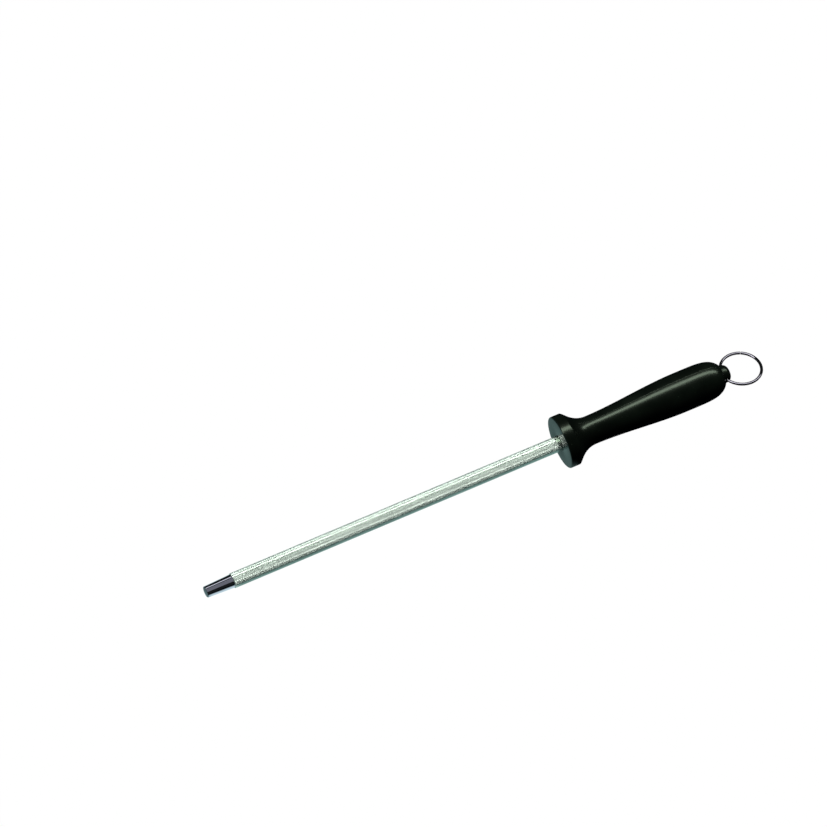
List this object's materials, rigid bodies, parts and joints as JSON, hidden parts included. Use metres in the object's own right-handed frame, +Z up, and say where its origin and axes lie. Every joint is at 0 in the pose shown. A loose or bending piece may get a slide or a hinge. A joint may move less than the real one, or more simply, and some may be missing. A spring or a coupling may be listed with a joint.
{
  "type": "knife sharpening steel",
  "caption": "Ridged round steel rod with a polished tip, a black moulded handle with a round guard, and a swivelling wire hanging ring for honing kitchen knives.",
  "frame": {"origin": "centre of the bounding box's base, on the table that the steel lies on", "axes": "+X from the tip to the butt, +Z up; the steel's own axis rises 3.1 degrees towards the butt, because it lies on the guard's rim and the tip's end"},
  "size_m": [0.313, 0.0276, 0.0284],
  "materials": {
    "ridged_chrome": "fine lengthwise ridges, hard chrome plated",
    "polished_chrome": "polished bright chrome",
    "wire_chrome": "bright plated wire",
    "washer_steel": "blued spring steel",
    "black_plastic": "satin moulded"
  },
  "bodies": {
    "steel": {"handle": "black_plastic", "ridged_tube": "ridged_chrome", "tip_plug": "polished_chrome"},
    "holder": {"ring_holder": "black_plastic", "retaining_washer": "washer_steel"},
    "ring": {"hanging_ring": "wire_chrome"}
  },
  "joints": [
    {"name": "holder_swivel", "type": "hinge", "parent": "steel", "child": "holder", "pos_m": [0.13438, 0, 0.01882], "axis": [0.9985, 0, 0.0542], "continuous": true},
    {"name": "ring_swing", "type": "hinge", "parent": "holder", "child": "ring", "pos_m": [0.13488, 0, 0.01885], "axis": [0, 1, 0], "range_deg": [-80, 64]}
  ]
}
